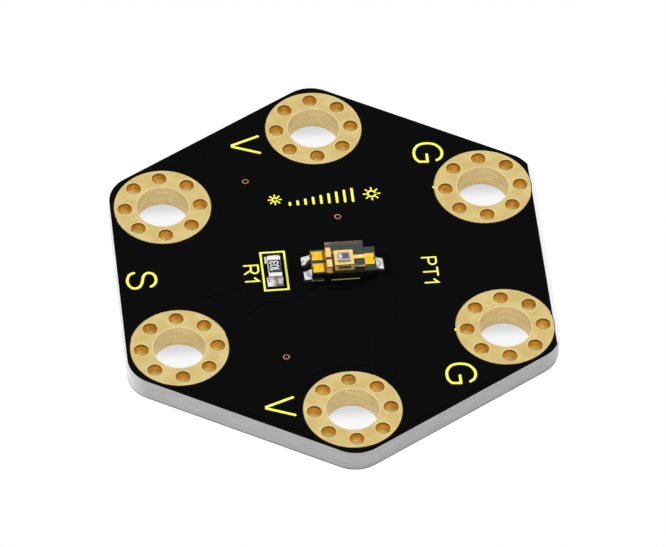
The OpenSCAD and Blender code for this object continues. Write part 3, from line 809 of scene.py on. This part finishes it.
# The board's letters, turned a quarter clockwise: the text, its lower left corner, its cap
# height, the pen's width and the gap between letters
BOARD_LETTERS = {
    "letter_supply_upper": ("V", (-5.19, 11.09), 1.70, BIG, LETTER_GAP),
    "letter_supply_lower": ("V", (-5.18, -10.28), 1.70, BIG, LETTER_GAP),
    "letter_ground_upper": ("G", (6.01, 9.61), 1.74, BIG, LETTER_GAP),
    "letter_ground_lower": ("G", (5.965, -8.50), 1.74, BIG, LETTER_GAP),
    "letter_signal": ("S", (-12.66, 0.47), 1.76, BIG, LETTER_GAP),
    "letters_resistor": ("R1", (-5.44, 0.46), 0.86, SMALL, 0.377),
    "letters_sensor": ("PT1", (5.51, 0.20), 0.85, SMALL, 0.32),
}
for name, (words, corner, cap, width, gap) in BOARD_LETTERS.items():
    write(name, words, corner, cap, width, (DOWN, RIGHT), INK, "print", gap=gap)


# The row of signs: a small sun, nine rising bars and a larger sun
SIGN_Y = 5.72
BAR_FOOT = 5.22
BAR_COUNT = 9
FIRST_BAR, BAR_STEP = -2.1, 0.49
SHORTEST, BAR_RISE = 0.16, 0.105
RAY_GAP = 0.13
BAR_WIDTH, SUN_WIDTH, RAY_WIDTH = 0.16, 0.12, 0.10


def sun(bm, x, y, r, ray):
    """A circle with eight rays."""
    pen(bm, arc(x, y, r, r, 0, 360, 24), SUN_WIDTH, *INK)
    for k in range(8):
        a = math.radians(45 * k)
        reach = (r + RAY_GAP, r + RAY_GAP + ray)
        ends = [(x + d * math.cos(a), y + d * math.sin(a)) for d in reach]
        pen(bm, ends, RAY_WIDTH, *INK)


def light_print():
    """A row of signs for more and less light above the sensor."""
    bm = bmesh.new()
    sun(bm, -3.0, SIGN_Y, 0.16, 0.10)
    for k in range(BAR_COUNT):
        x = FIRST_BAR + BAR_STEP * k
        top = BAR_FOOT + (SHORTEST + BAR_RISE * k)
        pen(bm, [(x, BAR_FOOT), (x, top)], BAR_WIDTH, *INK)
    sun(bm, 3.02, SIGN_Y, 0.24, 0.13)
    return piece("print_light_level", bm, "print")


light_print()


SPECKS = ((6.91, 5.93), (6.91, -5.76))
SPECK_WIDTH = 0.12
SPECK_HEIGHTS = (BOARD_TOP - 0.03, BOARD_TOP + 0.012)


def specks():
    """Two stray dots of ink at the inner edges of the right-hand rings."""
    bm = bmesh.new()
    for x, y in SPECKS:
        ends = [(x - 0.01, y + 0.05), (x + 0.01, y - 0.05)]
        pen(bm, ends, SPECK_WIDTH, *SPECK_HEIGHTS)
    return piece("print_specks", bm, "print")


specks()

# Solder
PAD_GAP = 0.03  # how far it goes past its pad
RISE = 0.255  # how high it climbs on the part's end
CLIMB_WIDTH = 0.08  # the climb starts over this width at the metal's sides
RIM_ROUND = 0.10
RIM_SINK, RIM_LIFT, SEAT_GAP = 0.02, 0.010, 0.011
WALL_STEP = 0.004  # the rows under the part start this far behind its end
SWELL = 0.03
RIPPLE, RIPPLE_SHARE = 4, 0.25  # waves per millimetre, and their share of the height
UNDER_ROWS, TOE_ROWS, ACROSS = 12, 24, 36


def bead(name, node, wall, out, pad, metal, seed, notch=0.0, rise=RISE, fall=1.7):
    """Solder under and beside the end of a part: a grid bent over the pad.
    wall: middle of the pad on the line of the part's end; out: direction away from it;
    pad: its width, how far it reaches out and how far under; metal: the part's metal,
    from the pad's middle, as (low, high) across; notch: radius of the part's half-round
    notch; fall: how hollow the slope is, with a full, round slope below 1."""
    wide, toe, foot = pad
    wall, out = Vector(wall), Vector(out)
    side = Vector((-out.y, out.x))
    half = wide / 2 + PAD_GAP
    bm = bmesh.new()
    rows = UNDER_ROWS + TOE_ROWS
    bmesh.ops.create_grid(bm, x_segments=ACROSS, y_segments=rows, size=0.5)
    for v in bm.verts:
        row = round((v.co.y + 0.5) * rows)
        if row < UNDER_ROWS:
            t = -WALL_STEP - (foot + PAD_GAP) * (1 - row / (UNDER_ROWS - 1))
        else:
            t = (toe + PAD_GAP) * (row - UNDER_ROWS) / TOE_ROWS
        across = v.co.x * 2 * half
        rim = min(half - abs(across), toe + PAD_GAP - t, t + foot + PAD_GAP)
        round_off = math.sqrt(max(0.0, 1 - max(0.0, 1 - rim / RIM_ROUND) ** 2))
        inside = min(across - metal[0], metal[1] - across)
        climb = min(1.0, max(0.0, inside / CLIMB_WIDTH + 0.5))
        in_notch = notch > 0 and math.hypot(t, across - sum(metal) / 2) < notch
        along = max(0.0, t) / toe
        height = 0.0
        if t >= 0 or in_notch:
            height = rise * climb * max(0.0, 1 - along) ** fall
        flat = wall + out * t + side * across
        wave = noise.noise(Vector((flat.x * RIPPLE + seed, flat.y * RIPPLE, 0)))
        swell = SWELL * math.sin(math.pi * min(1.0, along)) * (1 + wave)
        lift = RIM_LIFT + (SEAT - BOARD_TOP - SEAT_GAP) * round_off
        body = (height + swell) * round_off * (1 + RIPPLE_SHARE * wave)
        z = BOARD_TOP - RIM_SINK + lift + body
        v.co = (flat.x, flat.y, z if t >= 0 else min(z, SEAT + height))
    base = bmesh.ops.extrude_face_region(bm, geom=list(bm.faces))["geom"]
    for v in base:
        if isinstance(v, bmesh.types.BMVert):
            v.co.z = FOIL_TOP
    obj = piece(name, bm, "solder")
    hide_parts(node)
    return obj


LEFT_END, RIGHT_END = SENSOR[0] - SENSOR_HALF, SENSOR[0] + SENSOR_HALF
UPPER_END, LOWER_END = RESISTOR[1] + RESISTOR_HALF, RESISTOR[1] - RESISTOR_HALF
RESISTOR_PADS = -3.635
NOTCH = 0.15
SENSOR_LEFT_PAD, SENSOR_RIGHT_PAD = (0.78, 0.5, 0.7), (1.0, 0.5, 0.7)
RESISTOR_PAD = (0.94, 0.4, 0.3)
bead(
    "solder_sensor_upper", "sensor_solder_upper", (LEFT_END, 0.48), LEFT,
    SENSOR_LEFT_PAD, (-0.40, 0.36), 1.0, NOTCH,
)
bead(
    "solder_sensor_lower", "sensor_solder_lower", (LEFT_END, -0.70), LEFT,
    SENSOR_LEFT_PAD, (-0.60, 0.16), 5.0, NOTCH,
)
bead(
    "solder_sensor_right", "sensor_solder_right", (RIGHT_END, -0.11), RIGHT,
    SENSOR_RIGHT_PAD, (-0.35, 0.59), 9.0, NOTCH,
)
bead(
    "solder_resistor_upper", "resistor_solder_upper", (RESISTOR_PADS, UPPER_END), UP,
    RESISTOR_PAD, (-0.43, 0.37), 13.0, rise=0.40, fall=0.45,
)
bead(
    "solder_resistor_lower", "resistor_solder_lower", (RESISTOR_PADS, LOWER_END), DOWN,
    RESISTOR_PAD, (-0.37, 0.43), 17.0, rise=0.13,
)


def block(bm, low, high, round_by, segments=3):
    """A box between two corners with rounded edges."""
    made = bmesh.ops.create_cube(bm, size=1.0)["verts"]
    size = Vector(high) - Vector(low)
    middle = (Vector(high) + Vector(low)) / 2
    bmesh.ops.transform(
        bm, verts=made, matrix=Matrix.Translation(middle) @ Matrix.Diagonal((*size, 1))
    )
    edges = {e for v in made for e in v.link_edges}
    bmesh.ops.bevel(
        bm,
        geom=list(edges),
        offset=round_by,
        segments=segments,
        profile=0.5,
        affect="EDGES",
        material=-1,
    )


def millimetres(box):
    """A box's two corners in millimetres."""
    return [[c / MM for c in corner] for corner in box]


def clear_block():
    """The clear top, let a little into the carrier."""
    low, high = millimetres(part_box("sensor_moulding"))
    low[2] -= 0.02
    bm = bmesh.new()
    block(bm, low, high, 0.018)
    obj = piece("clear_block", bm, "clear_top", smooth=False)
    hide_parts("sensor_moulding")


clear_block()


def glaze():
    """The resistor's glaze, slightly over the ends of the caps, with its printed code."""
    low, high = millimetres(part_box("resistor_glaze"))
    top = high[2] + 0.012
    bm = bmesh.new()
    block(
        bm,
        (low[0] + 0.05, low[1] - 0.02, low[2] - 0.005),
        (high[0] + 0.01, high[1] + 0.02, top),
        0.02,
    )
    obj = piece("glaze", bm, "resistor_glaze", smooth=False)
    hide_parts("resistor_glaze")
    corner = (RESISTOR[0] + 0.235, RESISTOR[1] - 0.33)
    heights = (top - 0.01, top + 0.006)
    write(
        "resistor_code", "I03", corner, 0.50, 0.068, (UP, LEFT), heights,
        "resistor_glaze", WHITE_INK, gap=0.16,
    )


glaze()


# ---------------------------------------------------------------- light and camera


SKY = (0.27, 0.27, 0.275)
WHITE, BLACK = (1.0, 1.0, 1.0), (0.0, 0.0, 0.0)
FLOOR_HALF = 1.5  # metres
FLOOR_DROP = 0.02 * MM
RIGHT_RINGS = (30, 90, -30, -90)  # in degrees; the left ones mirror them


def stage():
    """A white floor with a painted shadow under the large holes, darker towards their
    backs.
    """
    bm = bmesh.new()
    bmesh.ops.create_grid(bm, x_segments=1, y_segments=1, size=FLOOR_HALF)
    mesh = bpy.data.meshes.new("floor")
    bm.to_mesh(mesh)
    bm.free()
    floor = bpy.data.objects.new("floor", mesh)
    floor.data.transform(Matrix.Translation((0, 0, -FLOOR_DROP)))
    bpy.context.collection.objects.link(floor)
    look = Look("floor")
    x, y = look.split(look.place())[:2]
    shade = 0.0
    for turn in RIGHT_RINGS:
        a = math.radians(turn)
        dx = abs(x) - RING_REACH * math.cos(a)
        dy = y - RING_REACH * math.sin(a)
        near = look.ramp((dx * dx + dy * dy).math("SQRT"), 2.2, 1.9)
        shade = shade + near * (0.07 + look.ramp(dy, 0.35, 1.45) * 0.25)
    tone = look.mix(shade, WHITE, BLACK)
    white = look.out(look.add("ShaderNodeEmission", None, {"Color": tone, "Strength": 1.0}))
    matt = look.out(look.add("ShaderNodeBsdfDiffuse", None, {"Color": (0.8, 0.8, 0.8)}))
    floor.data.materials.append(
        look.finish(look.blend(look.background_rays(), matt, white))
    )


stage()


def world():
    """A plain grey sky that lights the object, white where it is seen."""
    look = Look("studio", bpy.data.worlds)
    tone = look.mix(look.background_rays(), SKY, WHITE)
    shader = look.out(look.add("ShaderNodeBackground", None, {"Color": tone}))
    bpy.context.scene.world = look.finish(shader, "ShaderNodeOutputWorld")


world()


# Soft boxes aimed at the object: place and size in metres, power in watts
LAMPS = {
    "left_box": ((-0.46, 0.24, 0.18), (0.30, 0.24), 3.8),
    "right_box": ((0.42, 0.24, 0.17), (0.30, 0.24), 1.1),
    "top_box": ((-0.05, 0.06, 0.55), (0.40, 0.30), 1.75),
    "front_box": ((0.20, -0.40, 0.45), (0.30, 0.20), 1.2),
}


def lamp(name, place, size, power):
    """A soft box. Metal shows the background in its place."""
    data = bpy.data.lights.new(name, "AREA")
    data.shape = "RECTANGLE"
    data.size, data.size_y = size
    data.energy = power
    obj = bpy.data.objects.new(name, data)
    obj.location = place
    obj.rotation_euler = (-Vector(place)).to_track_quat("-Z", "Y").to_euler()
    obj.visible_glossy = False
    bpy.context.collection.objects.link(obj)


for name, (place, size, power) in LAMPS.items():
    lamp(name, place, size, power)

camera = bpy.data.objects.new("camera", bpy.data.cameras.new("camera"))
camera.data.sensor_width = 36.0
camera.data.lens = 388.4
camera.data.clip_start = 0.01
camera.data.clip_end = 10.0
camera.location = (-0.03825, -0.28834, 0.33257)
camera.rotation_euler = (0.7196691, -0.0230436, -0.1057041)
bpy.context.collection.objects.link(camera)
bpy.context.scene.camera = camera
bpy.context.scene.view_settings.view_transform = "Standard"
